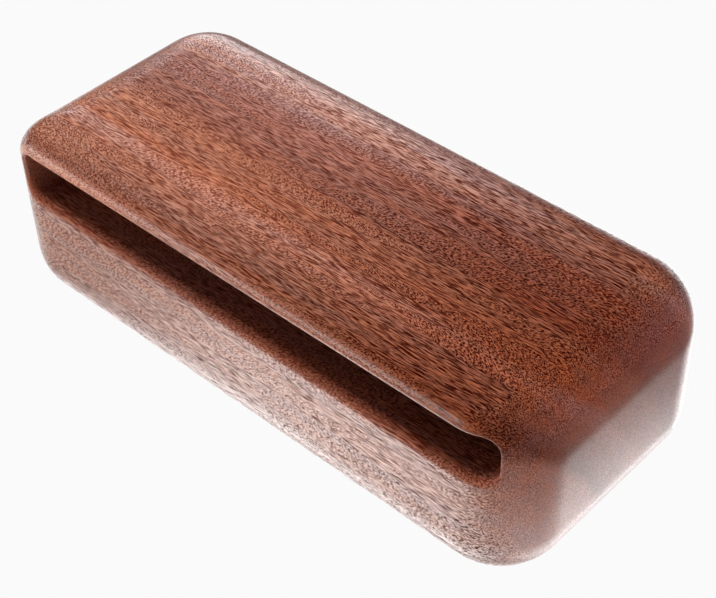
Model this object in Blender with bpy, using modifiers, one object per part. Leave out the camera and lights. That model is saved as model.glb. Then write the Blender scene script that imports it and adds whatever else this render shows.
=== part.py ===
# Wood block: a slotted hardwood block carved from one piece, on four screwed rubber feet.
# Metres, +Z up. +X runs along the block, the slot opens towards -Y, and the origin is on the
# surface that the feet stand on, under the middle of the block.

import math

import bmesh
import bpy
from mathutils import Matrix, Vector

# Wood block
BLOCK_LENGTH = 0.203
BLOCK_WIDTH = 0.0905
BLOCK_HEIGHT = 0.065
CORNER_RADIUS = 0.0205
EDGE_RADIUS = 0.019
LIP_RADIUS = 0.006
CORNER_MARGIN = 0.001
CORNER_STEPS = 12
EDGE_STEPS = 9

# Sound slot
SLOT_HEIGHT = 0.016
SLOT_ROOF = 0.0055
SLOT_BACK_WALL = 0.0145
SLOT_LEFT_WALL = 0.0135
SLOT_RIGHT_WALL = 0.009
SLOT_CORNER_RADIUS = 0.005
SLOT_CORNER_STEPS = 6
RIM_RADIUS = 0.0015
RIM_STEPS = 4
CUTTER_REACH = 0.004

# Rubber feet
FOOT_HEIGHT = 0.0055
FOOT_TOP_RADIUS = 0.007
FOOT_BASE_RADIUS = 0.0062
FOOT_EDGE_RADIUS = 0.0008
FOOT_EDGE_STEPS = 4
FOOT_WEB = 0.0013
FOOT_END_INSET = 0.0295
FOOT_SIDE_INSET = 0.02825
FOOT_STEPS = 32

# Foot screws and washers
SCREW_RADIUS = 0.0015
SCREW_LENGTH = 0.0125
SCREW_TIP = 0.002
SCREW_HEAD_RADIUS = 0.0028
SCREW_HEAD_HEIGHT = 0.0018
SCREW_HEAD_EDGE = 0.0006
WASHER_RADIUS = 0.0033
WASHER_BORE = 0.0018
WASHER_THICKNESS = 0.0006
SCREW_STEPS = 20

# Finishes: colour, roughness and metallic value
OILED_HARDWOOD = ((0.30, 0.10, 0.055), 0.42, 0.0)
BLACK_RUBBER = ((0.02, 0.02, 0.021), 0.8, 0.0)
ZINC_PLATED_STEEL = ((0.62, 0.62, 0.63), 0.32, 1.0)
SHARP_ANGLE = math.radians(30)

# Clearances
SEAT_GAP = 0.0003
HOLE_CLEARANCE = 0.0003
PILOT_EXTRA_DEPTH = 0.001
MERGE = 0.00001
HALVINGS = 40

# Heights and places that follow from the sizes
UNDERSIDE = FOOT_HEIGHT + SEAT_GAP
BLOCK_TOP = UNDERSIDE + BLOCK_HEIGHT
ROUND_EDGE = min(EDGE_RADIUS, CORNER_RADIUS - CORNER_MARGIN)
SLOT_TOP = BLOCK_TOP - SLOT_ROOF
SLOT_BOTTOM = SLOT_TOP - SLOT_HEIGHT
SLOT_LEFT = -BLOCK_LENGTH / 2 + SLOT_LEFT_WALL
SLOT_RIGHT = BLOCK_LENGTH / 2 - SLOT_RIGHT_WALL
SLOT_BACK = BLOCK_WIDTH / 2 - SLOT_BACK_WALL
WASHER_TOP = FOOT_HEIGHT - FOOT_WEB - SEAT_GAP
WASHER_BASE = WASHER_TOP - WASHER_THICKNESS
HEAD_TOP = WASHER_BASE - SEAT_GAP
HEAD_BASE = HEAD_TOP - SCREW_HEAD_HEIGHT
SCREW_END = HEAD_TOP + SCREW_LENGTH
FOOT_RECESS_RADIUS = max(WASHER_RADIUS, SCREW_HEAD_RADIUS) + HOLE_CLEARANCE

FOOT_X = BLOCK_LENGTH / 2 - FOOT_END_INSET
FOOT_Y = BLOCK_WIDTH / 2 - FOOT_SIDE_INSET
FOOT_PLACES = {
    "front_left": (-FOOT_X, -FOOT_Y),
    "front_right": (FOOT_X, -FOOT_Y),
    "back_left": (-FOOT_X, FOOT_Y),
    "back_right": (FOOT_X, FOOT_Y),
}


def new_collection(name):
    """A collection linked to the scene."""
    collection = bpy.data.collections.new(name)
    bpy.context.scene.collection.children.link(collection)
    return collection


def new_material(name, color, roughness, metallic):
    """A material with one Principled BSDF."""
    material = bpy.data.materials.new(name)
    material.use_nodes = True
    shader = material.node_tree.nodes["Principled BSDF"]
    shader.inputs["Base Color"].default_value = (*color, 1.0)
    shader.inputs["Roughness"].default_value = roughness
    shader.inputs["Metallic"].default_value = metallic
    return material


def add_object(name, bm, collection, material=None, location=(0, 0, 0)):
    """Puts a bmesh into a new object of the collection."""
    mesh = bpy.data.meshes.new(name)
    bm.to_mesh(mesh)
    bm.free()
    if material:
        mesh.materials.append(material)
    thing = bpy.data.objects.new(name, mesh)
    thing.location = location
    collection.objects.link(thing)
    return thing


def as_cutter(thing):
    """Marks an object as a cutter: shown as wire and left out of renders."""
    thing.hide_render = True
    thing.display_type = "WIRE"
    return thing


def weld(thing, name):
    """Merges corners that a step before has left on top of each other."""
    modifier = thing.modifiers.new(name, "WELD")
    modifier.merge_threshold = MERGE


def cut(thing, cutter):
    """Cuts the cutter's shape out of the object."""
    modifier = thing.modifiers.new(f"cut_{cutter.name}", "BOOLEAN")
    modifier.operation = "DIFFERENCE"
    modifier.solver = "EXACT"
    modifier.object = cutter


def shade_smooth(thing):
    """Smooth shading with sharp edges past the angle."""
    thing.data.shade_smooth()
    thing.data.set_sharp_from_angle(angle=SHARP_ANGLE)


def top_edge_radius(turn):
    """Radius of the top edge where the side is turned by this angle from the front.

    It is the small lip radius on the front and the full edge radius on the ends and the back, and
    it grows smoothly from one to the other round the front corners.
    """
    share = min(turn / (math.pi / 2), 1.0)
    return LIP_RADIUS + (ROUND_EDGE - LIP_RADIUS) * share * share * (3 - 2 * share)


def side_reach(turn, z):
    """How far the side stands from a corner's upright axis, at this turn from the front and height z.

    It is the corner radius, less what the quarter circle of the top edge sets the side back there.
    """
    radius = top_edge_radius(turn)
    above = min(max(z - (BLOCK_TOP - radius), 0.0), radius)
    return CORNER_RADIUS - radius + math.sqrt(radius**2 - above**2)


def front_surface(x, z):
    """Y of the block's front at x and height z: the flat front, the round corners and the lip.

    Round a corner, the turn at which the side stands at x is found by halving.
    """
    past = abs(x) - (BLOCK_LENGTH / 2 - CORNER_RADIUS)
    low = 0.0
    high = math.pi / 2 if past > 0 else 0.0
    for _ in range(HALVINGS):
        turn = (low + high) / 2
        if math.sin(turn) * side_reach(turn, z) < past:
            low = turn
        else:
            high = turn
    return -BLOCK_WIDTH / 2 + CORNER_RADIUS - math.cos(low) * side_reach(low, z)


def bend_places(mouth_end):
    """Places along X where the mouth's long edges bend round a corner of the block.

    They run in even steps from where the front's flat part ends to just before mouth_end.
    """
    flat_end = math.copysign(BLOCK_LENGTH / 2 - CORNER_RADIUS, mouth_end)
    if abs(mouth_end) <= abs(flat_end):
        return []
    step = CORNER_RADIUS * math.radians(90 / CORNER_STEPS)
    count = max(round(abs(mouth_end - flat_end) / step), 1)
    return [flat_end + (mouth_end - flat_end) * k / count for k in range(count)]


def mouth_outline(grow):
    """The slot's outline as (x, z) points: a rectangle with round corners, grown by grow."""
    radius = SLOT_CORNER_RADIUS + grow
    low = Vector((SLOT_LEFT - grow + radius, SLOT_BOTTOM - grow + radius))
    high = Vector((SLOT_RIGHT + grow - radius, SLOT_TOP + grow - radius))
    bends = [*reversed(bend_places(low.x)), *bend_places(high.x)]
    corners = ((high.x, high.y), (low.x, high.y), (low.x, low.y), (high.x, low.y))
    points = []
    for centre, first in zip(corners, (0, 90, 180, 270)):
        for k in range(SLOT_CORNER_STEPS + 1):
            turn = math.radians(first + 90 * k / SLOT_CORNER_STEPS)
            points.append((centre[0] + radius * math.cos(turn), centre[1] + radius * math.sin(turn)))
        if first == 0:
            points += [(x, high.y + radius) for x in reversed(bends)]
        if first == 180:
            points += [(x, low.y - radius) for x in bends]
    return points


def make_slot_cutter(collection):
    """The slot's shape as one loft along Y, with a mouth that flares into the eased rim.

    Each ring is the mouth's outline. The first is flat, in front of the block. The rim's rings
    follow the block's front round its corner, and step along a quarter circle from the front into
    the slot's walls. The last is the slot's flat back.
    """
    rings = [[(x, -BLOCK_WIDTH / 2 - CUTTER_REACH, z) for x, z in mouth_outline(RIM_RADIUS)]]
    for k in range(RIM_STEPS + 1):
        turn = math.pi / 2 * k / RIM_STEPS
        depth = RIM_RADIUS * (1 - math.cos(turn))
        outline = mouth_outline(RIM_RADIUS * (1 - math.sin(turn)))
        rings.append([(x, front_surface(x, z) + depth, z) for x, z in outline])
    rings.append([(x, SLOT_BACK, z) for x, z in mouth_outline(0)])
    bm = bmesh.new()
    loops = [[bm.verts.new(point) for point in ring] for ring in rings]
    for outer, inner in zip(loops, loops[1:]):
        count = len(outer)
        for k in range(count):
            bm.faces.new((outer[k], outer[(k + 1) % count], inner[(k + 1) % count], inner[k]))
    bm.faces.new(loops[0])
    bm.faces.new(loops[-1])
    bmesh.ops.recalc_face_normals(bm, faces=bm.faces)
    return as_cutter(add_object("slot_cutter", bm, collection))


def make_pilot_cutter(collection):
    """The pilot holes of the foot screws, in one cutter."""
    radius = SCREW_RADIUS + HOLE_CLEARANCE
    top = SCREW_END + PILOT_EXTRA_DEPTH
    base = UNDERSIDE - CUTTER_REACH
    bm = bmesh.new()
    for x, y in FOOT_PLACES.values():
        place = Matrix.Translation((x, y, (top + base) / 2))
        bmesh.ops.create_cone(
            bm,
            cap_ends=True,
            segments=SCREW_STEPS,
            radius1=radius,
            radius2=radius,
            depth=top - base,
            matrix=place,
        )
    return as_cutter(add_object("pilot_cutter", bm, collection))


def make_block(parts, cutters, material):
    """The block: a box with round upright corners and round edges, cut by the slot and the pilot holes."""
    bm = bmesh.new()
    bmesh.ops.create_cube(bm, size=1.0)
    size = Vector((BLOCK_LENGTH, BLOCK_WIDTH, BLOCK_HEIGHT))
    bmesh.ops.scale(bm, vec=size, verts=bm.verts)
    bmesh.ops.translate(bm, vec=(0, 0, UNDERSIDE + BLOCK_HEIGHT / 2), verts=bm.verts)
    upright = [e for e in bm.edges if abs(e.verts[0].co.z - e.verts[1].co.z) > BLOCK_HEIGHT / 2]
    bmesh.ops.bevel(
        bm,
        geom=upright,
        offset=CORNER_RADIUS,
        segments=CORNER_STEPS,
        profile=0.5,
        affect="EDGES",
    )
    weight = bm.edges.layers.float.new("bevel_weight_edge")
    for edge in bm.edges:
        sides = [f for f in edge.link_faces if abs(f.normal.z) < 0.5]
        if len(sides) == 1:
            at_top = edge.verts[0].co.z > UNDERSIDE + BLOCK_HEIGHT / 2
            normal = sides[0].normal
            turn = math.atan2(abs(normal.x), -normal.y)
            edge[weight] = top_edge_radius(turn) / ROUND_EDGE if at_top else 1.0
    block = add_object("block_body", bm, parts, material)
    rounding = block.modifiers.new("round_edges", "BEVEL")
    rounding.limit_method = "WEIGHT"
    rounding.width = ROUND_EDGE
    rounding.use_clamp_overlap = False
    rounding.segments = EDGE_STEPS
    rounding.profile = 0.5
    weld(block, "weld_rounding")
    cut(block, make_slot_cutter(cutters))
    cut(block, make_pilot_cutter(cutters))
    weld(block, "weld_cuts")
    shade_smooth(block)
    return block


def make_turned(name, profile, steps, collection, material, location=(0, 0, 0), closed=False):
    """A turned piece: the (radius, z) profile carried round Z by a Screw modifier."""
    bm = bmesh.new()
    verts = [bm.verts.new((radius, 0, z)) for radius, z in profile]
    for a, b in zip(verts, verts[1:]):
        bm.edges.new((a, b))
    if closed:
        bm.edges.new((verts[-1], verts[0]))
    piece = add_object(name, bm, collection, material, location)
    turning = piece.modifiers.new("turn", "SCREW")
    turning.steps = steps
    turning.render_steps = steps
    turning.use_merge_vertices = True
    turning.merge_threshold = MERGE
    turning.use_smooth_shade = True
    return piece


def foot_profile():
    """Outline of the foot's wall: tapered side, round base edge, screw recess and the web above it."""
    edge = Vector((FOOT_BASE_RADIUS - FOOT_EDGE_RADIUS, FOOT_EDGE_RADIUS))
    arc = []
    for k in range(FOOT_EDGE_STEPS + 1):
        turn = math.radians(90 * k / FOOT_EDGE_STEPS)
        arc.append((edge.x + FOOT_EDGE_RADIUS * math.cos(turn), edge.y - FOOT_EDGE_RADIUS * math.sin(turn)))
    bore = SCREW_RADIUS + HOLE_CLEARANCE
    web_base = FOOT_HEIGHT - FOOT_WEB
    inside = [(FOOT_RECESS_RADIUS, 0), (FOOT_RECESS_RADIUS, web_base), (bore, web_base), (bore, FOOT_HEIGHT)]
    return [(FOOT_TOP_RADIUS, FOOT_HEIGHT), *arc, *inside]


def washer_profile():
    """Outline of the flat washer under the screw's head."""
    outside = [(WASHER_RADIUS, WASHER_TOP), (WASHER_RADIUS, WASHER_BASE)]
    bore = [(WASHER_BORE, WASHER_BASE), (WASHER_BORE, WASHER_TOP)]
    return outside + bore


def screw_profile():
    """Outline of the pan-head wood screw: its head down, its point up in the wood."""
    return [
        (0, SCREW_END),
        (SCREW_RADIUS, SCREW_END - SCREW_TIP),
        (SCREW_RADIUS, HEAD_TOP),
        (SCREW_HEAD_RADIUS, HEAD_TOP),
        (SCREW_HEAD_RADIUS, HEAD_BASE + SCREW_HEAD_EDGE),
        (SCREW_HEAD_RADIUS - SCREW_HEAD_EDGE, HEAD_BASE),
        (0, HEAD_BASE),
    ]


def make_foot_sets(collection, rubber, steel):
    """The rubber foot, washer and screw at each of the four places."""
    for place, (x, y) in FOOT_PLACES.items():
        spot = (x, y, 0)
        make_turned(f"foot_{place}", foot_profile(), FOOT_STEPS, collection, rubber, spot, closed=True)
        make_turned(f"washer_{place}", washer_profile(), SCREW_STEPS, collection, steel, spot, closed=True)
        make_turned(f"screw_{place}", screw_profile(), SCREW_STEPS, collection, steel, spot)


def build():
    """Makes the whole wood block."""
    for thing in list(bpy.data.objects):
        bpy.data.objects.remove(thing)
    parts = new_collection("wood_block")
    cutters = new_collection("cutters")
    wood = new_material("oiled_hardwood", *OILED_HARDWOOD)
    rubber = new_material("black_rubber", *BLACK_RUBBER)
    steel = new_material("zinc_plated_steel", *ZINC_PLATED_STEEL)
    make_block(parts, cutters, wood)
    make_foot_sets(parts, rubber, steel)


build()
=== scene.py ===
"""The looks of the wood block: carved body, rubber feet, washers and screws, in metres in the CAD's frame."""

import math

import bpy
import numpy as np
from mathutils import Matrix, Vector


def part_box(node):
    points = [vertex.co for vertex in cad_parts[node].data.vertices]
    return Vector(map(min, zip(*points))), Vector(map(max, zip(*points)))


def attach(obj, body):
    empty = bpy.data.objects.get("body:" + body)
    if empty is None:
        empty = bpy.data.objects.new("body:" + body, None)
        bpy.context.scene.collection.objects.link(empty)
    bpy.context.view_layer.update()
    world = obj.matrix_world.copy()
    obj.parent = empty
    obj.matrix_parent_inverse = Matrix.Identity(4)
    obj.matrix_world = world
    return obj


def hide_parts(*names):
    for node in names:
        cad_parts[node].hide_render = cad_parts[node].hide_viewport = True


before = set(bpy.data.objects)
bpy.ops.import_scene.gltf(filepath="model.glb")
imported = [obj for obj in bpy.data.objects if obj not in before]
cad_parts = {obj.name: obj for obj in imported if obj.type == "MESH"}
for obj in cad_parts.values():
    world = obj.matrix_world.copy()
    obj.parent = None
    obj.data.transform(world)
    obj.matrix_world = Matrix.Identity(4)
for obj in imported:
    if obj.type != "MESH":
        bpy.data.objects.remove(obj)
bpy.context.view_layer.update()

# Wood block, as in the part's source
LOW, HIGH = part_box("block_body")
HALF_LENGTH = HIGH.x
HALF_WIDTH = HIGH.y
UNDERSIDE = LOW.z
BLOCK_TOP = HIGH.z
CORNER_RADIUS = 0.0205
EDGE_RADIUS = 0.019
LIP_RADIUS = 0.006

# Sound slot
SLOT_HEIGHT = 0.016
SLOT_ROOF = 0.0055
SLOT_BACK_WALL = 0.0145
SLOT_LEFT_WALL = 0.0135
SLOT_RIGHT_WALL = 0.009
SLOT_CORNER_RADIUS = 0.005
RIM_RADIUS = 0.0015
SLOT_TOP = BLOCK_TOP - SLOT_ROOF
SLOT_BOTTOM = SLOT_TOP - SLOT_HEIGHT
SLOT_LEFT = -HALF_LENGTH + SLOT_LEFT_WALL
SLOT_RIGHT = HALF_LENGTH - SLOT_RIGHT_WALL
SLOT_BACK = HALF_WIDTH - SLOT_BACK_WALL

# Feet, washers and screws, at four places that mirror each other
FOOT_LOW, FOOT_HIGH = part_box("foot_back_right")
FOOT_X = (FOOT_LOW.x + FOOT_HIGH.x) / 2
FOOT_Y = (FOOT_LOW.y + FOOT_HIGH.y) / 2
FOOT_TOP_RADIUS = FOOT_HIGH.x - FOOT_X
FOOT_BASE_RADIUS = 0.0062
FOOT_WEB = 0.0013
FOOT_RECESS_RADIUS = 0.0036
FOOT_BORE = 0.0018
FOOT_BASE_FILLET = 0.0008
FOOT_TOP_FILLET = 0.0003
FOOT_BORE_FILLET = 0.0001
WEB_FILLET = 0.0002
RECESS_FILLET = 0.0003
RECESS_MOUTH_FILLET = 0.0004
WASHER_LOW, WASHER_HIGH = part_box("washer_back_right")
WASHER_BORE = 0.0018
WASHER_LOW_FILLET = 0.00005
WASHER_HIGH_FILLET = 0.0002
WASHER_BORE_FILLET = 0.00015
SCREW_LOW, SCREW_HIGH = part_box("screw_back_right")
SCREW_RADIUS = 0.0015
SCREW_CORE = 0.7
SCREW_TIP = 0.002
THREAD_PITCH = 0.0011
THREAD_SHARPNESS = 3
HEAD_RADIUS = SCREW_HIGH.x - FOOT_X
HEAD_HEIGHT = 0.0018
HEAD_EDGE = 0.0006
HEAD_DOME = 0.0001
CROSS_REACH = 0.0014
CROSS_HALF_WIDTH = 0.00034
CROSS_DEPTH = 0.0011
CROSS_EASE = 0.00014
CROSS_END_DEPTH = 0.5
PLACES = {"front_left": (-1, -1), "front_right": (1, -1), "back_left": (-1, 1), "back_right": (1, 1)}
SCREW_TURNS = {"front_left": 0.3, "front_right": 1.25, "back_left": 0.85, "back_right": 0.1}

# Fineness of the turned pieces, and the angle past which an edge of any piece is shown sharp
TURN_STEPS = 96
FILLET_STEPS = 6
FACE_ROWS = 32
SHANK_ROWS = 120
SHARP_ANGLE = math.radians(40)

# Fineness of the body, and the rows and steps of its grid where the frame round the mouth runs
FLAT_STEP = 0.001
CORNER_STEPS = 40
EDGE_STEPS = 18
SIDE_STEPS = 14
CAP_SHARES = (0.02, 0.1, 0.4, 0.7, 0.97)
FRAME_LOW_ROW = 7
FRAME_HIGH_ROW = 10
FRAME_LEFT_STEP = 20
FRAME_RIGHT_STEP = 27
PATCH_STEPS = 8
RIM_STEPS = 8
WALL_STEPS = 10
HALVINGS = 40

# Camera, from the fit of the block's outline to the photograph
CAMERA_AZIMUTH = math.radians(43.921)
CAMERA_ELEVATION = math.radians(42.622)
CAMERA_ROLL = math.radians(-1.8794)
CAMERA_DISTANCE = 0.48105
AIM_RIGHT = -0.0050414
AIM_UP = 0.0075935
LENS = 81.82
SENSOR = 36.0
NEAREST_SEEN = 0.01

# Studio: a white table that reaches past the view, in a dim room
STAGE_SIZE = 6.0
TABLE_DROP = 0.0004
TABLE_WHITE = 0.956
ROOM_GLOW = 0.05

# Glow of the table that only the polish reflects, with a weaker one over it below the block. Each fade
# takes a share of the strong glow away, along its way past a soft edge at these distances from the middle
GLOW_DROP = 0.0001
TABLE_GLOW = 5.2
SHADE_DROP = 0.00005
SHADE_GLOW = 1.9
GLOW_FADES = [
    {"way": (0.992, 0.12), "edge": (0.105, 0.1355), "loss": 0.95},
    {"way": (0.65, -0.76), "edge": (0.109, 0.138), "loss": 0.95},
    {"way": (-1, 0), "edge": (-0.01, 0.1), "loss": 0.74},
    {"way": (0, 1), "edge": (0.02, 0.2), "loss": 0.7},
]

# Two panels of the surround, behind and before the block's left, each centred on a level way. Their
# sides and tops are soft edges: how much of a direction of length 1 lies across the way, and upwards
BACK_PANEL = {"way": (-0.707, 0.707, 0), "side": (0.02, 0.33), "top": (0.42, 0.6), "glow": 4.4}
LEFT_PANEL = {"way": (-0.643, -0.766, 0), "side": (0.3, 0.6), "top": (0.2, 0.4), "glow": 4.6}

# Softboxes, which light the wood and don't show in its polish
TOP_LIGHT = {"place": (0.0, 0.08, 0.8), "size": (0.6, 0.6), "power": 17.6}
FRONT_LIGHT = {"place": (-0.12, -0.8, 0.05), "size": (0.6, 0.12), "power": 6.5}
SIDE_LIGHT = {"place": (0.75, 0.15, 0.06), "size": (0.5, 0.12), "power": 3.2}

# Growth of the wood: the tree's middle, before and below the block's front, how far the bands wander
# from true circles, and their colours by distance from the middle
PITH_Y = -0.109
PITH_Z = -0.0172
WANDER_SIZE = (0.09, 0.02, 0.02)
WANDER = 0.006
WOOD_TONES = [
    (0.060, (0.155, 0.066, 0.042)),
    (0.076, (0.168, 0.070, 0.044)),
    (0.082, (0.190, 0.078, 0.048)),
    (0.105, (0.180, 0.068, 0.039)),
    (0.108, (0.097, 0.032, 0.018)),
    (0.111, (0.110, 0.039, 0.023)),
    (0.114, (0.134, 0.049, 0.028)),
    (0.117, (0.136, 0.049, 0.029)),
    (0.122, (0.172, 0.069, 0.045)),
    (0.125, (0.145, 0.046, 0.023)),
    (0.134, (0.139, 0.048, 0.026)),
    (0.138, (0.112, 0.035, 0.020)),
    (0.149, (0.124, 0.043, 0.028)),
    (0.152, (0.130, 0.045, 0.030)),
    (0.156, (0.138, 0.057, 0.041)),
    (0.159, (0.175, 0.084, 0.064)),
    (0.163, (0.168, 0.080, 0.062)),
    (0.167, (0.125, 0.050, 0.036)),
    (0.175, (0.112, 0.043, 0.032)),
]

# Fibres: the size and slant of a pore's cell where they run level and where they lean, the size of
# those bands, and the two limits of their noise between which the fibres run level
LEVEL_CELL = (0.0048, 0.00027, 0.00027)
LEVEL_SLANT = (0, 0.01, 0.01)
LEANING_CELL = (0.0016, 0.0003, 0.0003)
FORWARD_SLANT = (0, 0.2, 0.24)
BACKWARD_SLANT = (0, -0.2, -0.24)
LEAN_SIZE = (0.12, 0.011, 0.011)
LEAN_LIMITS = (0.44, 0.56)

# Pores, threads and ribbons: a pore's core and edge in cells, wider with age and less wide in the dull
# threads, how fine the threads are against the cells, and the edges of threads and ribbons in their noise
PORE_CORE = 0.17
PORE_EDGE = 0.28
PORE_AGEING = 0.045
PORE_UNEVENNESS = 0.3
THREAD_SCALE = 1.3
THREAD_EDGE = (0.41, 0.52)
RIBBON_SIZE = (0.07, 0.004, 0.004)
RIBBON_EDGE = (0.35, 0.65)

# Factors of the wood's red, green and blue in ribbons, threads, pores and the carved slot
COOL_RIBBON = (0.92, 0.98, 1.06)
WARM_RIBBON = (1.05, 0.96, 0.86)
DULL_THREAD = (0.52, 0.28, 0.2)
# Thread colours where the wood darkens to the right, partly with age and partly as painted shade
AGED_AND_SHADED_DULL_THREAD = (0.33, 0.15, 0.09)
BRIGHT_THREAD = (1.46, 1.76, 1.97)
AGED_AND_SHADED_BRIGHT_THREAD = (1.72, 2.3, 2.65)
PORE_TINT = (0.25, 0.11, 0.08)
CARVED_TINT = (1.35, 1.0, 0.95)

# Places where the wood departs from its bands: the soft edges of each along x, y, z and the distance
# from the tree's middle, or two of them where it sets in and ends, and its factors of colour
ENDS = {"x": (0.09, HALF_LENGTH)}
# Darker, redder right of the top and back: partly the wood's age, partly painted shade of light falling off
# to the right
AGED_AND_SHADED = {"x": (-0.045, 0.085), "radius": (0.092, 0.108), "tint": (0.53, 0.33, 0.24)}
RED_END = {"x": (0.086, 0.101), "tint": (1.0, 0.85, 0.91)}
# Painted shade: the ends darker towards their base, where less light reaches
SHADED_END_BASE = {"z": (0.012, 0.034), "tint": (0.7, 0.5, 0.5)}
# Painted shade on the back rounding's left, which faces away from the light
SHADED_BACK_LEFT = {"x": (-0.08, 0.0), "radius": (0.162, 0.169), "tint": (0.7, 0.67, 0.64)}
# Paler, bluer left in two bands: partly paler wood, partly a painted sheen of light from the left
PALE_LEFT_AND_SHEEN = {"x": (-0.085, -0.04), "radius": [(0.092, 0.108), (0.13, 0.145)], "tint": (1.1, 1.15, 1.18)}
# Painted shade: a dark band below the right end's top edge, where its polish reflects no light
SHADED_END_EDGE = {"x": (0.087, 0.094), "z": [(0.056, 0.0615), (0.0655, 0.0695)], "tint": (0.74, 0.68, 0.68)}
# Painted highlight: a lighter band on the lip's lower rounding, left of the middle's right
LIP_HIGHLIGHT = {"y": (-0.0435, -0.0425), "z": (0.061, 0.064), "x": (0.03, 0.07), "tint": (1.24, 1.24, 1.24)}

# Polish of the wood: its roughness, how much of the pores the oil has filled on the lip and the ends,
# how deep they show, and how dark they are in the matt wood of the carved slot
POLISH = 0.17
THREAD_ROUGHNESS = 0.04
END_ROUGHNESS = 0.1
LIP_FILLING = 0.75
END_FILLING = 0.4
PORE_DEPTH = 0.00003
PORE_RELIEF = 0.4
MATT_ROUGHNESS = 0.9
CARVED_PORES = 0.8

# Rubber: colours, grains and dust patches to a metre, which dust shows, and how high the scuffs reach
RUBBER_BLACK = (0.017, 0.017, 0.018)
RUBBER_DUSTY = (0.06, 0.056, 0.05)
RUBBER_SCUFFED = (0.075, 0.07, 0.065)
RUBBER_GRAINS = 2600
RUBBER_GRAIN_DEPTH = 0.00006
RUBBER_GRAIN_RELIEF = 0.35
RUBBER_ROUGHNESS = 0.68
RUBBER_GRAIN_ROUGHNESS = 0.2
DUST_PATCHES = 420
DUSTY_PATCHES = (0.45, 0.7)
DUST_COVER = 0.5
SCUFF_PATCHES = (0.35, 0.55)
SCUFF_HEIGHT = (0.0001, 0.0007)

# Zinc: its two tones, patches of bloom and turning rings to a metre, and its roughness
ZINC_BLUE = (0.56, 0.59, 0.64)
ZINC_STRAW = (0.69, 0.66, 0.59)
ZINC_BLOOMS = 700
BLOOM_EDGE = (0.35, 0.65)
TURNING_RINGS = 9000
TURNING_DEPTH = 0.00003
TURNING_RELIEF = 0.25
ZINC_ROUGHNESS = 0.22
RING_ROUGHNESS = 0.14
BLOOM_ROUGHNESS = 0.1


class Value:
    """A shader value that takes part in Python expressions: each operator adds its Math node."""

    def __init__(self, finish, socket):
        self.finish = finish
        self.socket = socket

    def math(self, operation, *others):
        return self.finish.node("ShaderNodeMath", {"operation": operation}, dict(enumerate((self, *others))))

    def __add__(self, other):
        return self.math("ADD", other)

    def __sub__(self, other):
        return self.math("SUBTRACT", other)

    def __rsub__(self, other):
        return self.finish.node("ShaderNodeMath", {"operation": "SUBTRACT"}, {0: other, 1: self})

    def __mul__(self, other):
        return self.math("MULTIPLY", other)

    def __truediv__(self, other):
        return self.math("DIVIDE", other)

    def __pow__(self, other):
        return self.math("POWER", other)

    def __abs__(self):
        return self.math("ABSOLUTE")

    __radd__ = __add__
    __rmul__ = __mul__

    def above(self, limit):
        """1 above the limit and 0 below."""
        return self.math("GREATER_THAN", limit)

    def rise(self, low, high):
        """0 below low, 1 above high and a smooth step between."""
        settings = {"interpolation_type": "SMOOTHSTEP"}
        return self.finish.node("ShaderNodeMapRange", settings, {0: self, 1: low, 2: high})

    def fall(self, low, high):
        """1 below low, 0 above high and a smooth step between."""
        return 1 - self.rise(low, high)

    def within(self, start, end):
        """1 between two soft edges, and 0 before the start and past the end."""
        return self.rise(*start) * self.fall(*end)


class Nodes:
    """A node tree being made, with one method that adds any node."""

    def __init__(self, tree):
        self.tree = tree

    def node(self, kind, settings, inputs, output=0):
        """Adds a node, sets it up, feeds its sockets with values or links, and returns one of its outputs."""
        node = self.tree.nodes.new(kind)
        for key, value in settings.items():
            if key == "stops":
                ramp = node.color_ramp
                while len(ramp.elements) < len(value):
                    ramp.elements.new(1.0)
                for element, (position, color) in zip(ramp.elements, value):
                    element.position = position
                    element.color = (*color, 1.0)
            else:
                setattr(node, key, value)
        for key, value in inputs.items():
            self.feed(node.inputs[key], value)
        return Value(self, node.outputs[output])

    def axes(self, vector):
        """The three numbers of a vector."""
        node = self.node("ShaderNodeSeparateXYZ", {}, {0: vector}).socket.node
        return [Value(self, socket) for socket in node.outputs]

    def dot(self, vector, way):
        """How far a vector reaches along a way."""
        settings = {"operation": "DOT_PRODUCT"}
        return self.node("ShaderNodeVectorMath", settings, {0: vector, 1: way}, "Value")

    def feed(self, socket, value):
        """Links a Value to the socket, or sets its constant."""
        if isinstance(value, Value):
            self.tree.links.new(value.socket, socket)
        elif hasattr(socket.default_value, "__len__") and len(socket.default_value) == 4 and len(value) == 3:
            socket.default_value = (*value, 1.0)
        else:
            socket.default_value = value


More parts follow.
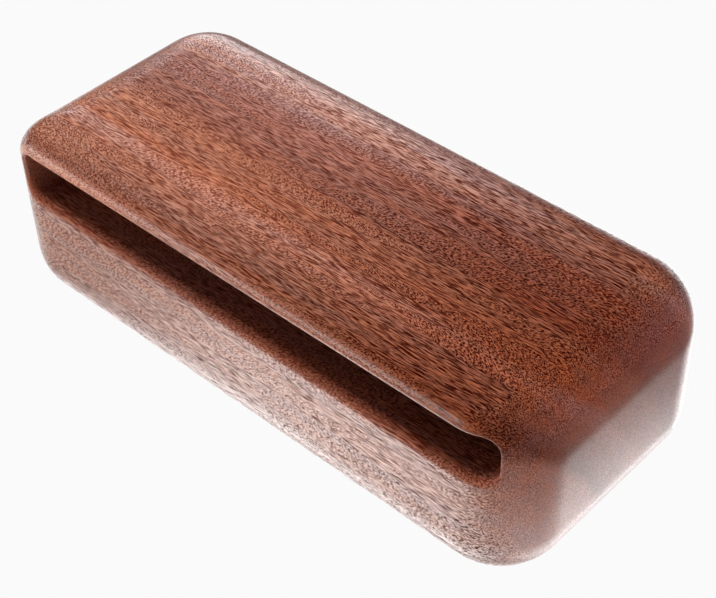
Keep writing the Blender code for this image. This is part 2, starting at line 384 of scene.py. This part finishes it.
class Finish(Nodes):
    """A material being made: a Principled BSDF, and the textures of its surface."""

    def __init__(self, name, **constants):
        self.material = bpy.data.materials.new(name)
        self.material.use_nodes = True
        super().__init__(self.material.node_tree)
        self.shader = self.tree.nodes["Principled BSDF"]
        self.place = self.node("ShaderNodeTexCoord", {}, {}, "Object")
        self.surface(**constants)

    def surface(self, **inputs):
        """Feeds sockets of the Principled BSDF."""
        for key, value in inputs.items():
            self.feed(self.shader.inputs[key.replace("_", " ")], value)

    def noise(self, vector, scale=1.0, detail=2.0):
        """Cloudy noise between 0 and 1, with finer clouds added by the detail."""
        return self.node("ShaderNodeTexNoise", {}, {"Vector": vector, "Scale": scale, "Detail": detail})

    def along(self, size, turn=(0, 0, 0)):
        """Object coordinates along axes turned by these angles, in steps of the size along each axis."""
        inputs = {"Vector": self.place, "Rotation": turn, "Scale": size}
        return self.node("ShaderNodeMapping", {"vector_type": "TEXTURE"}, inputs)

    def ramp(self, distance, stops):
        """Colour that changes with a distance, from its value at each stop."""
        low, high = stops[0][0], stops[-1][0]
        places = [((place - low) / (high - low), color) for place, color in stops]
        return self.node("ShaderNodeValToRGB", {"stops": places}, {0: (distance - low) / (high - low)})

    def mix(self, share, first, second, blend="MIX"):
        """Mix of two colours."""
        settings = {"data_type": "RGBA", "blend_type": blend}
        return self.node("ShaderNodeMix", settings, {0: share, 6: first, 7: second}, 2)

    def tint(self, color, factors, share=1.0):
        """The colour with its three channels multiplied, as far as the share says."""
        return self.mix(share, color, factors, "MULTIPLY")

    def choose(self, share, first, second):
        """The first vector, or the second where the share is 1."""
        return self.node("ShaderNodeMix", {"data_type": "VECTOR"}, {0: share, 4: first, 5: second}, 1)

    def cells(self, vector):
        """Distance to the nearest of randomly strewn points, one to each unit cube."""
        return self.node("ShaderNodeTexVoronoi", {}, {"Vector": vector, "Scale": 1.0}, "Distance")

    def open_pores(self, share, color):
        """Matt, unpolished colour in place of the surface where the share is 1."""
        inputs = {"Base Color": color, "Roughness": MATT_ROUGHNESS, "Specular IOR Level": 0.0}
        hollow = self.node("ShaderNodeBsdfPrincipled", {}, inputs)
        polished = Value(self, self.shader.outputs[0])
        mixed = self.node("ShaderNodeMixShader", {}, {0: share, 1: polished, 2: hollow})
        self.feed(self.tree.nodes["Material Output"].inputs["Surface"], mixed)

    def bump(self, height, strength, distance):
        """Normal of a surface raised by a height of 0 to 1 times the distance in metres."""
        return self.node("ShaderNodeBump", {}, {"Height": height, "Strength": strength, "Distance": distance})


def smoothstep(share):
    """The S-shaped rise 3t^2 - 2t^3 of a share clipped to 0..1."""
    t = np.clip(share, 0.0, 1.0)
    return t * t * (3 - 2 * t)


def top_edge_radius(turn):
    """Radius of the top edge where the side is turned by this angle from the front.

    The lip radius on the front grows by a smoothstep over a quarter turn to the full edge radius.
    """
    return LIP_RADIUS + (EDGE_RADIUS - LIP_RADIUS) * smoothstep(np.abs(turn) / (math.pi / 2))


def plan_outline():
    """The block's outline from above, as anchors and turns, anticlockwise from the left end's back.

    A point of the outline is its anchor plus the corner radius along (sin turn, -cos turn). On a
    flat side the anchor moves and the turn stays, and round a corner the turn moves.
    """
    x = HALF_LENGTH - CORNER_RADIUS
    y = HALF_WIDTH - CORNER_RADIUS
    corners = np.array([(-x, y), (-x, -y), (x, -y), (x, y), (-x, y)])
    anchors, turns = [], []
    for k in range(4):
        start, end = corners[k], corners[k + 1]
        steps = round(np.linalg.norm(end - start) / FLAT_STEP)
        share = np.arange(steps)[:, None] / steps
        anchors += [start + (end - start) * share, np.repeat(end[None], CORNER_STEPS, axis=0)]
        facing = (k - 1) * math.pi / 2
        turns += [np.full(steps, facing), facing + np.arange(CORNER_STEPS) / CORNER_STEPS * math.pi / 2]
    return np.concatenate(anchors), np.concatenate(turns)


def body_grid():
    """The block's outside without the slot, as rows of points from the underside up to the top.

    Each column stands on one point of the plan outline. Its section is the flat underside, a
    quarter circle of the edge radius, the upright side, a quarter circle of the top edge radius
    and the flat top, where the outline shrinks towards the middle.
    """
    anchors, turns = plan_outline()
    facing = np.stack([np.sin(turns), -np.cos(turns)], axis=1)
    side = np.where(turns > math.pi, turns - 2 * math.pi, turns)
    radius = top_edge_radius(side)
    quarter = np.linspace(0, math.pi / 2, EDGE_STEPS + 1)
    rows = []

    def add_row(set_back, height, share=1.0):
        flat = (anchors + facing * (CORNER_RADIUS - set_back)[:, None]) * share
        rows.append(np.column_stack([flat, height]))

    level = np.ones_like(turns)
    for share in CAP_SHARES:
        add_row(EDGE_RADIUS * level, UNDERSIDE * level, share)
    for angle in quarter[::-1]:
        rise = EDGE_RADIUS * (1 - math.sin(angle))
        add_row(EDGE_RADIUS * (1 - math.cos(angle)) * level, (UNDERSIDE + rise) * level)
    side_low = UNDERSIDE + EDGE_RADIUS
    side_high = BLOCK_TOP - radius
    for k in range(1, SIDE_STEPS):
        add_row(0 * level, side_low + (side_high - side_low) * k / SIDE_STEPS)
    for angle in quarter:
        add_row(radius * (1 - math.cos(angle)), BLOCK_TOP - radius * (1 - math.sin(angle)))
    for share in CAP_SHARES[::-1]:
        add_row(radius, BLOCK_TOP * level, share)
    return np.array(rows)


def front_skin(x, z):
    """Y of the block's front at (x, z): flat, or round a corner by the turn found by halving.

    At a turn t the side stands sin t (R - d) beyond the corner's axis in x, where R is the corner
    radius and d is how far the top edge's quarter circle sets the side back at this height.
    """
    axis_x = HALF_LENGTH - CORNER_RADIUS
    axis_y = -HALF_WIDTH + CORNER_RADIUS

    def reach(turn):
        radius = top_edge_radius(turn)
        above = np.clip(z - (BLOCK_TOP - radius), 0, radius)
        return CORNER_RADIUS - radius + np.sqrt(radius**2 - above**2)

    low = np.zeros_like(x)
    high = np.where(np.abs(x) > axis_x, math.pi / 2, 0.0)
    for _ in range(HALVINGS):
        middle = (low + high) / 2
        short = axis_x + np.sin(middle) * reach(middle) < np.abs(x)
        low = np.where(short, middle, low)
        high = np.where(short, high, middle)
    return axis_y - np.cos(low) * reach(low)


def mouth_outline(sides):
    """The slot's outline, as anchors and directions in (x, z), matched to the frame round it.

    Each of the four sides runs from the middle of one round corner to the middle of the next, and
    has a point at each of the shares of its length that the frame's side gives. A point of the
    outline is its anchor plus the radius along its direction.
    """
    left, right = SLOT_LEFT + SLOT_CORNER_RADIUS, SLOT_RIGHT - SLOT_CORNER_RADIUS
    low, high = SLOT_BOTTOM + SLOT_CORNER_RADIUS, SLOT_TOP - SLOT_CORNER_RADIUS
    corners = np.array([(left, low), (right, low), (right, high), (left, high), (left, low)])
    half_arc = math.pi / 4 * SLOT_CORNER_RADIUS
    anchors, angles = [], []
    for k, shares in enumerate(sides):
        start, end = corners[k], corners[k + 1]
        straight = np.linalg.norm(end - start)
        knots = [0, half_arc, half_arc + straight, straight + 2 * half_arc]
        place = shares * knots[-1]
        base = (k - 1) * math.pi / 2
        turn = np.interp(place, knots, [base - math.pi / 4, base, base, base + math.pi / 4])
        share = np.interp(place, knots, [0, 0, 1, 1])[:, None]
        anchors.append(start + (end - start) * share)
        angles.append(turn)
    angles = np.concatenate(angles)
    return np.concatenate(anchors), np.stack([np.cos(angles), np.sin(angles)], axis=1)


def frame_sides(grid, rows, columns):
    """The closed loop of grid places round the mouth: along the bottom, up, back and down.

    Returns the (row, column) of each place, and for each side the shares of its length.
    """
    (row_low, row_high), (left, right) = rows, columns
    across = np.arange(left, right)
    up = np.arange(row_low, row_high)
    sides = [
        np.stack([np.full_like(across, row_low), across], axis=1),
        np.stack([up, np.full_like(up, right)], axis=1),
        np.stack([np.full_like(across, row_high), across[::-1] + 1], axis=1),
        np.stack([up[::-1] + 1, np.full_like(up, left)], axis=1),
    ]
    shares = []
    for side, following in zip(sides, sides[1:] + sides[:1]):
        places = np.concatenate([side, following[:1]])
        points = grid[places[:, 0], places[:, 1]]
        lengths = np.linalg.norm(np.diff(points, axis=0), axis=1)
        shares.append((np.cumsum(lengths) - lengths) / lengths.sum())
    return np.concatenate(sides), shares


def mouth_rings(frame_loop, anchors, directions):
    """Loops of points from the frame in to the slot's back, the first being just inside the frame.

    The first loops cross the front's skin to the rim, the next follow the rim's quarter circle
    from the skin into the slot, the next run along the slot's walls, and the last close its back.
    """

    def outline(grow):
        return anchors + directions * (SLOT_CORNER_RADIUS + grow)

    def on_skin(xz, depth=0.0):
        return np.column_stack([xz[:, 0], front_skin(xz[:, 0], xz[:, 1]) + depth, xz[:, 1]])

    outer = frame_loop[:, [0, 2]]
    rings = []
    for k in range(1, PATCH_STEPS):
        rings.append(on_skin(outer + (outline(RIM_RADIUS) - outer) * k / PATCH_STEPS))
    for k in range(RIM_STEPS + 1):
        turn = math.pi / 2 * k / RIM_STEPS
        rings.append(on_skin(outline(RIM_RADIUS * (1 - math.sin(turn))), RIM_RADIUS * (1 - math.cos(turn))))
    mouth = rings[-1]
    back = mouth.copy()
    back[:, 1] = SLOT_BACK
    for k in range(1, WALL_STEPS + 1):
        rings.append(mouth + (back - mouth) * k / WALL_STEPS)
    middle = back.mean(axis=0)
    for share in CAP_SHARES[::-1][1:]:
        rings.append(middle + (back - middle) * share)
    return np.array(rings), middle


def quads(low, high):
    """Quads between two closed rows of vertex numbers, the second lying to the left of the first."""
    return np.stack([low, np.roll(low, -1), np.roll(high, -1), high], axis=-1)


def fan(ring, pole, outward=True):
    """Triangles from a ring of vertex numbers to one pole."""
    first, second = (ring, np.roll(ring, -1)) if outward else (np.roll(ring, -1), ring)
    return np.stack([first, second, np.full_like(ring, pole)], axis=-1)


def new_piece(name, points, faces, material, marks=None):
    """A smooth-shaded mesh object at the origin, with its place in its mesh.

    The faces come in groups, each an array of point numbers, and the marks as a number for each
    point under a name. Points that no face uses are left out.
    """
    faces = [np.asarray(group) for group in faces]
    used = np.unique(np.concatenate([group.ravel() for group in faces]))
    place = np.zeros(len(points), int)
    place[used] = np.arange(len(used))
    mesh = bpy.data.meshes.new(name)
    mesh.from_pydata(points[used].tolist(), [], [face for group in faces for face in place[group].tolist()])
    for mark, values in (marks or {}).items():
        mesh.attributes.new(mark, "FLOAT", "POINT").data.foreach_set("value", values[used])
    mesh.validate()
    mesh.shade_smooth()
    mesh.set_sharp_from_angle(angle=SHARP_ANGLE)
    mesh.materials.append(material)
    piece = bpy.data.objects.new(name, mesh)
    bpy.context.scene.collection.objects.link(piece)
    return piece


def make_body(material):
    """The carved block as one closed surface: the outside grid, open at the mouth, and rings into the slot.

    A mark on its points, carved, rises from 0 on the skin over the rim to 1 inside the slot.
    """
    grid = body_grid()
    numbers = np.arange(grid.size // 3).reshape(grid.shape[:2])

    # The frame round the mouth lies between two rows of the side and two columns at the front's corners
    side_row = len(CAP_SHARES) + EDGE_STEPS
    rows = (side_row + FRAME_LOW_ROW, side_row + SIDE_STEPS + FRAME_HIGH_ROW)
    left_corner = round(2 * (HALF_WIDTH - CORNER_RADIUS) / FLAT_STEP)
    right_corner = left_corner + CORNER_STEPS + round(2 * (HALF_LENGTH - CORNER_RADIUS) / FLAT_STEP)
    columns = (left_corner + FRAME_LEFT_STEP, right_corner + FRAME_RIGHT_STEP)
    places, shares = frame_sides(grid, rows, columns)
    frame_loop = grid[places[:, 0], places[:, 1]]
    rings, middle = mouth_rings(frame_loop, *mouth_outline(shares))

    # Three poles close the underside, the top and the slot's back
    bottom_pole = grid.size // 3 + rings.size // 3
    top_pole, slot_pole = bottom_pole + 1, bottom_pole + 2
    poles = [(0, 0, UNDERSIDE), (0, 0, BLOCK_TOP), middle]
    points = np.concatenate([grid.reshape(-1, 3), rings.reshape(-1, 3), poles])
    outside = np.stack([quads(low, high) for low, high in zip(numbers, numbers[1:])])
    keep = np.ones(outside.shape[:2], bool)
    keep[rows[0]:rows[1], columns[0]:columns[1]] = False
    ring_numbers = numbers.size + np.arange(rings.size // 3).reshape(rings.shape[:2])
    loops = [numbers[places[:, 0], places[:, 1]], *ring_numbers]
    inward = np.concatenate([quads(outer, inner) for outer, inner in zip(loops, loops[1:])])
    caps = [fan(numbers[0], bottom_pole, False), fan(numbers[-1], top_pole), fan(loops[-1], slot_pole)]
    inside = len(rings) - PATCH_STEPS - RIM_STEPS
    depth = np.concatenate([np.zeros(PATCH_STEPS - 1), np.linspace(0, 1, RIM_STEPS + 1), np.ones(inside)])
    carved = np.concatenate([np.zeros(numbers.size), np.repeat(depth, rings.shape[1]), (0, 0, 1)])
    faces = [outside[keep], inward, *caps]
    return new_piece("block_body_carved", points, faces, material, {"carved": carved})


def rounded(corners):
    """A closed outline of (radius, height) points, anticlockwise, from corners with a fillet each.

    Each corner becomes an arc of its fillet radius that touches both of its sides. The arc's middle
    lies on the line that halves the corner, at the fillet radius over the sine of half the angle.
    """
    outline = []
    for before, here, after in zip(corners[-1:] + corners[:-1], corners, corners[1:] + corners[:1]):
        corner, fillet = Vector(here[:2]), here[2]
        back = (Vector(before[:2]) - corner).normalized()
        forth = (Vector(after[:2]) - corner).normalized()
        half = back.angle(forth) / 2
        middle = corner + (back + forth).normalized() * fillet / math.sin(half)
        first = corner + back * fillet / math.tan(half) - middle
        last = corner + forth * fillet / math.tan(half) - middle
        outline += [middle + first.slerp(last, k / FILLET_STEPS) * fillet for k in range(FILLET_STEPS + 1)]
    return np.array(outline)


def around(radius, height, place):
    """Points round an upright axis: (x + r cos t, y + r sin t, z) for rows of radius r and height z."""
    turn = np.arange(TURN_STEPS) / TURN_STEPS * 2 * math.pi
    radius, height = np.broadcast_arrays(radius, height, np.zeros(TURN_STEPS))[:2]
    x, y = place[0] * FOOT_X, place[1] * FOOT_Y
    return np.stack([x + radius * np.cos(turn), y + radius * np.sin(turn), height], axis=-1)


def make_ring(name, corners, place, material):
    """A turned ring: the rounded outline of the corners carried round the axis at this place."""
    outline = rounded(corners)
    points = around(outline[:, :1], outline[:, 1:], place)
    numbers = np.arange(points.size // 3).reshape(points.shape[:2])
    faces = [quads(low, high) for low, high in zip(numbers, np.roll(numbers, -1, axis=0))]
    return new_piece(name, points.reshape(-1, 3), faces, material)


def make_foot(name, place, material):
    """A tapered rubber foot with a recess from below for the screw's head."""
    web_base = FOOT_HIGH.z - FOOT_WEB
    corners = [
        (FOOT_BASE_RADIUS, 0, FOOT_BASE_FILLET),
        (FOOT_TOP_RADIUS, FOOT_HIGH.z, FOOT_TOP_FILLET),
        (FOOT_BORE, FOOT_HIGH.z, FOOT_BORE_FILLET),
        (FOOT_BORE, web_base, WEB_FILLET),
        (FOOT_RECESS_RADIUS, web_base, RECESS_FILLET),
        (FOOT_RECESS_RADIUS, 0, RECESS_MOUTH_FILLET),
    ]
    return make_ring(name, corners, place, material)


def make_washer(name, place, material):
    """A flat washer with the rounded upper edge and sharp lower one that punching leaves."""
    radius = WASHER_HIGH.x - FOOT_X
    corners = [
        (radius, WASHER_LOW.z, WASHER_LOW_FILLET),
        (radius, WASHER_HIGH.z, WASHER_HIGH_FILLET),
        (WASHER_BORE, WASHER_HIGH.z, WASHER_BORE_FILLET),
        (WASHER_BORE, WASHER_LOW.z, WASHER_LOW_FILLET),
    ]
    return make_ring(name, corners, place, material)


def cross_recess(x, y):
    """Depth of the driver's cross at a place of the head: arms that get shallower away from the middle.

    The depth falls in a straight line to its share at the arms' ends, and both the arms' sides and
    their ends are smoothsteps.
    """
    along = np.maximum(np.abs(x), np.abs(y))
    across = np.minimum(np.abs(x), np.abs(y))
    sides = smoothstep((CROSS_HALF_WIDTH - across) / CROSS_EASE)
    ends = smoothstep((CROSS_REACH - along) / CROSS_EASE)
    return CROSS_DEPTH * sides * ends * (1 - (1 - CROSS_END_DEPTH) * along / CROSS_REACH)


def make_screw(name, place, turn, material):
    """A pan-head wood screw, point up, as one surface from the middle of its head to its point.

    The head's face is a shallow dome with the cross sunk in it, and its edge a quarter ellipse.
    The thread is a ridge on the shank's core: a raised cosine of the height over the pitch less the
    direction, to a power that sharpens it. Core and ridge shrink in a straight line to the point.
    """
    direction = np.arange(TURN_STEPS) / TURN_STEPS * 2 * math.pi
    face = (HEAD_RADIUS - HEAD_EDGE) * np.arange(1, FACE_ROWS + 1)[:, None] / FACE_ROWS
    cross = cross_recess(face * np.cos(direction - turn), face * np.sin(direction - turn))
    face_height = SCREW_LOW.z + HEAD_DOME * (face / face[-1]) ** 2 + cross
    quarter = np.linspace(0, math.pi / 2, FILLET_STEPS + 1)[1:, None]
    edge = HEAD_RADIUS - HEAD_EDGE + HEAD_EDGE * np.sin(quarter)
    edge_height = SCREW_LOW.z + HEAD_DOME + (HEAD_EDGE - HEAD_DOME) * (1 - np.cos(quarter))
    head_top = SCREW_LOW.z + HEAD_HEIGHT
    level = np.linspace(head_top, SCREW_HIGH.z, SHANK_ROWS, endpoint=False)[:, None]
    ridge = (0.5 + 0.5 * np.cos(level / THREAD_PITCH * 2 * math.pi - direction)) ** THREAD_SHARPNESS
    taper = np.minimum(1, (SCREW_HIGH.z - level) / SCREW_TIP)
    shank = SCREW_RADIUS * taper * (SCREW_CORE + (1 - SCREW_CORE) * ridge)
    rows = [(face, face_height), (edge, edge_height), ([[HEAD_RADIUS]], [[head_top]]), (shank, level)]
    grid = np.concatenate([around(np.array(radius), np.array(height), place) for radius, height in rows])
    numbers = np.arange(grid.size // 3).reshape(grid.shape[:2])
    middle = (place[0] * FOOT_X, place[1] * FOOT_Y)
    poles = [(*middle, SCREW_LOW.z + CROSS_DEPTH), (*middle, SCREW_HIGH.z)]
    faces = [quads(low, high) for low, high in zip(numbers, numbers[1:])]
    faces += [fan(numbers[0], numbers.size, False), fan(numbers[-1], numbers.size + 1)]
    return new_piece(name, np.concatenate([grid.reshape(-1, 3), poles]), faces, material)


def camera_axes():
    """The camera's right, up and backward directions."""
    level = Vector((math.sin(CAMERA_AZIMUTH), -math.cos(CAMERA_AZIMUTH), 0))
    back = level * math.cos(CAMERA_ELEVATION) + Vector((0, 0, math.sin(CAMERA_ELEVATION)))
    right = Vector((0, 0, 1)).cross(back).normalized()
    up = back.cross(right)
    turn = Matrix.Rotation(CAMERA_ROLL, 3, back)
    return turn @ right, turn @ up, back


def make_camera():
    """The photograph's camera, placed by its aim, turn and distance."""
    right, up, back = camera_axes()
    middle = Vector((0, 0, (UNDERSIDE + BLOCK_TOP) / 2))
    aim = middle - right * AIM_RIGHT - up * AIM_UP
    data = bpy.data.cameras.new("camera")
    data.lens = LENS
    data.sensor_width = SENSOR
    data.clip_start = NEAREST_SEEN
    camera = bpy.data.objects.new("camera", data)
    turned = Matrix((right, up, back)).transposed().to_4x4()
    camera.matrix_world = Matrix.Translation(aim + back * CAMERA_DISTANCE) @ turned
    bpy.context.scene.collection.objects.link(camera)
    bpy.context.scene.camera = camera


def make_softbox(name, place, size, power):
    """A rectangular area light that faces the block and doesn't show in its polish."""
    data = bpy.data.lights.new(name, "AREA")
    data.shape = "RECTANGLE"
    data.size, data.size_y = size
    data.energy = power
    lamp = bpy.data.objects.new(name, data)
    lamp.location = place
    lamp.rotation_euler = (Vector((0, 0, BLOCK_TOP / 2)) - Vector(place)).to_track_quat("-Z", "Y").to_euler()
    lamp.visible_glossy = False
    bpy.context.scene.collection.objects.link(lamp)


def make_sheet(name, height, glow, fades=(), half=(STAGE_SIZE, STAGE_SIZE)):
    """A level sheet of the stage that glows, and loses a share of its glow past the edge of each fade."""
    finish = Finish(name, Base_Color=(0, 0, 0), Specular_IOR_Level=0.0, Emission_Strength=glow)
    x, y, _ = finish.axes(finish.place)
    light = (1, 1, 1)
    for fade in fades:
        lost = (x * fade["way"][0] + y * fade["way"][1]).rise(*fade["edge"])
        light = finish.tint(light, [1 - fade["loss"]] * 3, lost)
    finish.surface(Emission_Color=light)
    corners = np.array([(-1, -1), (1, -1), (1, 1), (-1, 1)]) * half
    points = np.column_stack([corners, np.full(4, height)])
    sheet = new_piece(name, points, [[[0, 1, 2, 3]]], finish.material)
    return sheet


def make_surround():
    """The world: a dim room with two bright panels, which the camera sees as plain white."""
    world = bpy.data.worlds.new("studio")
    bpy.context.scene.world = world
    world.use_nodes = True
    sky = Nodes(world.node_tree)
    way = sky.node("ShaderNodeTexCoord", {}, {}, "Generated")
    height = sky.axes(way)[2]
    light = ROOM_GLOW
    for panel in (BACK_PANEL, LEFT_PANEL):
        x, y, _ = panel["way"]
        across = abs(sky.dot(way, (y, -x, 0)))
        inside = sky.dot(way, panel["way"]).above(0.0) * across.fall(*panel["side"])
        light = light + inside * height.fall(*panel["top"]) * panel["glow"]
    seen = sky.node("ShaderNodeLightPath", {}, {}, "Is Camera Ray")
    background = world.node_tree.nodes["Background"]
    sky.feed(background.inputs["Color"], (1, 1, 1))
    sky.feed(background.inputs["Strength"], light + (TABLE_WHITE - light) * seen)


def make_studio():
    """Table, its two glows in the polish, the surround and three softboxes, shown with plain colours."""
    make_sheet("table", -TABLE_DROP, TABLE_WHITE)
    table_glow = make_sheet("table_glow", -GLOW_DROP, TABLE_GLOW, GLOW_FADES)
    table_glow.visible_camera = False
    table_glow.visible_diffuse = False
    table_shade = make_sheet("table_shade", -SHADE_DROP, SHADE_GLOW, half=(HALF_LENGTH, HALF_WIDTH))
    table_shade.visible_camera = False
    make_surround()
    make_softbox("top_light", **TOP_LIGHT)
    make_softbox("front_light", **FRONT_LIGHT)
    make_softbox("side_light", **SIDE_LIGHT)
    bpy.context.scene.view_settings.view_transform = "Standard"


def along_fibres(wood):
    """Object coordinates in pore cells, along fibres that run level or lean by turns.

    A slow noise says how a band's fibres lean: forward below its first limit, backward above its
    second, and level between them.
    """
    lean = wood.noise(wood.along(LEAN_SIZE), detail=4)
    forward = wood.along(LEANING_CELL, FORWARD_SLANT)
    backward = wood.along(LEANING_CELL, BACKWARD_SLANT)
    way = wood.choose(lean.above(LEAN_LIMITS[0]), forward, wood.along(LEVEL_CELL, LEVEL_SLANT))
    return wood.choose(lean.above(LEAN_LIMITS[1]), way, backward)


def local_tint(wood, x, z, radius, ends):
    """Factors of the wood's colour at the redder right end, the paler left with its painted sheen, and the
    painted shade at the ends' base, the back's left rounding and below the right end's top edge.
    """
    factors = wood.mix(x.rise(*RED_END["x"]), (1, 1, 1), RED_END["tint"])
    # Painted shade on the ends' lower part
    factors = wood.mix(ends * z.fall(*SHADED_END_BASE["z"]), factors, SHADED_END_BASE["tint"])
    # Painted shade on the back rounding's left
    back_left = x.fall(*SHADED_BACK_LEFT["x"]) * radius.rise(*SHADED_BACK_LEFT["radius"])
    factors = wood.mix(back_left, factors, SHADED_BACK_LEFT["tint"])
    # Paler left with its painted sheen of light from the left
    left = x.fall(*PALE_LEFT_AND_SHEEN["x"]) * radius.within(*PALE_LEFT_AND_SHEEN["radius"])
    factors = wood.mix(left, factors, PALE_LEFT_AND_SHEEN["tint"])
    # Painted shade below the right end's top edge
    edge = x.rise(*SHADED_END_EDGE["x"]) * z.within(*SHADED_END_EDGE["z"])
    return wood.tint(factors, SHADED_END_EDGE["tint"], edge)


def oiled_hardwood():
    """Reddish ribbon-striped hardwood, oiled and buffed, with matt pores and a matt slot.

    Growth bands are shells round the tree's middle. The fibres lean one way in one band and the
    other way in the next, so their pores show as long lines or short dashes on the same surface,
    with light and dark threads between them. The wood is darker and redder towards the right, partly
    with age and partly as painted shade, and rougher on its ends. The lip's lower rounding is lighter
    with a painted highlight.
    """
    wood = Finish("oiled_hardwood", IOR=1.4)
    x, y, z = wood.axes(wood.place)
    wander = wood.noise(wood.along(WANDER_SIZE)) - 0.5
    radius = ((y - PITH_Y) ** 2 + (z - PITH_Z) ** 2) ** 0.5 + wander * WANDER
    ends = abs(x).rise(*ENDS["x"])
    # The right's darkening is partly age and partly painted shade; the same mask also widens the pores
    age = x.rise(*AGED_AND_SHADED["x"]) * (1 - ends)
    aged_and_shaded = age * radius.rise(*AGED_AND_SHADED["radius"])
    # The lip's lower rounding: lighter there with a painted highlight, and its pores filled by the oil
    lip = z.rise(*LIP_HIGHLIGHT["z"]) * y.fall(*LIP_HIGHLIGHT["y"])

    way = along_fibres(wood)
    threads = wood.noise(way, scale=THREAD_SCALE, detail=1)
    gap = wood.cells(way) - threads * PORE_UNEVENNESS
    pores = gap.fall(PORE_CORE + age * PORE_AGEING, PORE_EDGE + age * PORE_AGEING)
    ribbon = wood.noise(wood.along(RIBBON_SIZE), detail=3).rise(*RIBBON_EDGE)

    tone = wood.tint(wood.ramp(radius, WOOD_TONES), AGED_AND_SHADED["tint"], aged_and_shaded)
    tone = wood.tint(tone, local_tint(wood, x, z, radius, ends))
    # Painted highlight on the lip's lower rounding
    tone = wood.tint(tone, LIP_HIGHLIGHT["tint"], lip * x.fall(*LIP_HIGHLIGHT["x"]))
    tone = wood.tint(tone, wood.mix(ribbon, COOL_RIBBON, WARM_RIBBON))
    dull = wood.tint(tone, wood.mix(aged_and_shaded, DULL_THREAD, AGED_AND_SHADED_DULL_THREAD))
    bright = wood.tint(tone, wood.mix(aged_and_shaded, BRIGHT_THREAD, AGED_AND_SHADED_BRIGHT_THREAD))
    color = wood.mix(threads.rise(*THREAD_EDGE), dull, bright)

    carved = wood.node("ShaderNodeAttribute", {"attribute_name": "carved"}, {}, "Fac")
    color = wood.tint(color, CARVED_TINT, carved)
    polish = POLISH + threads * THREAD_ROUGHNESS + ends * END_ROUGHNESS
    normal = wood.bump(pores * -1, PORE_RELIEF, PORE_DEPTH)
    wood.surface(Base_Color=color, Roughness=polish, Normal=normal)
    share = pores * (1 - lip * LIP_FILLING) * (1 - ends * END_FILLING)
    dark = wood.tint(tone, PORE_TINT)
    bare = wood.mix(carved, dark, wood.mix(pores * CARVED_PORES, color, dark))
    wood.open_pores(share + carved * (1 - share), bare)
    return wood.material


def black_rubber():
    """Black moulded rubber with a fine grain, dusty in patches and scuffed where it stands."""
    rubber = Finish("black_rubber", IOR=1.5)
    height = rubber.axes(rubber.place)[2]
    grain = rubber.noise(rubber.place, scale=RUBBER_GRAINS, detail=3)
    dust = rubber.noise(rubber.place, scale=DUST_PATCHES, detail=4)
    scuffed = height.fall(*SCUFF_HEIGHT) * dust.rise(*SCUFF_PATCHES)
    color = rubber.mix(dust.rise(*DUSTY_PATCHES) * DUST_COVER, RUBBER_BLACK, RUBBER_DUSTY)
    color = rubber.mix(scuffed, color, RUBBER_SCUFFED)
    roughness = RUBBER_ROUGHNESS + grain * RUBBER_GRAIN_ROUGHNESS
    normal = rubber.bump(grain, RUBBER_GRAIN_RELIEF, RUBBER_GRAIN_DEPTH)
    rubber.surface(Base_Color=color, Roughness=roughness, Normal=normal)
    return rubber.material


def zinc_plated_steel():
    """Bright zinc with fine turning rings round each screw's axis and a faint blue and straw bloom."""
    steel = Finish("zinc_plated_steel", Metallic=1.0)
    x, y, _ = steel.axes(steel.place)
    radius = ((abs(x) - FOOT_X) ** 2 + (abs(y) - FOOT_Y) ** 2) ** 0.5
    line = {"noise_dimensions": "1D"}
    rings = steel.node("ShaderNodeTexNoise", line, {"W": radius, "Scale": TURNING_RINGS, "Detail": 2})
    bloom = steel.noise(steel.place, scale=ZINC_BLOOMS, detail=3)
    color = steel.mix(bloom.rise(*BLOOM_EDGE), ZINC_BLUE, ZINC_STRAW)
    roughness = ZINC_ROUGHNESS + rings * RING_ROUGHNESS + bloom * BLOOM_ROUGHNESS
    normal = steel.bump(rings, TURNING_RELIEF, TURNING_DEPTH)
    steel.surface(Base_Color=color, Roughness=roughness, Normal=normal)
    return steel.material


def dress(piece, node):
    """Hangs the piece under the root body and hides the frame's solid that it stands for."""
    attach(piece, "root")
    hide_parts(node)


make_camera()
make_studio()
dress(make_body(oiled_hardwood()), "block_body")
rubber, steel = black_rubber(), zinc_plated_steel()
for corner, place in PLACES.items():
    dress(make_foot(f"foot_{corner}_moulded", place, rubber), f"foot_{corner}")
    dress(make_washer(f"washer_{corner}_punched", place, steel), f"washer_{corner}")
    screw = make_screw(f"screw_{corner}_threaded", place, SCREW_TURNS[corner], steel)
    dress(screw, f"screw_{corner}")
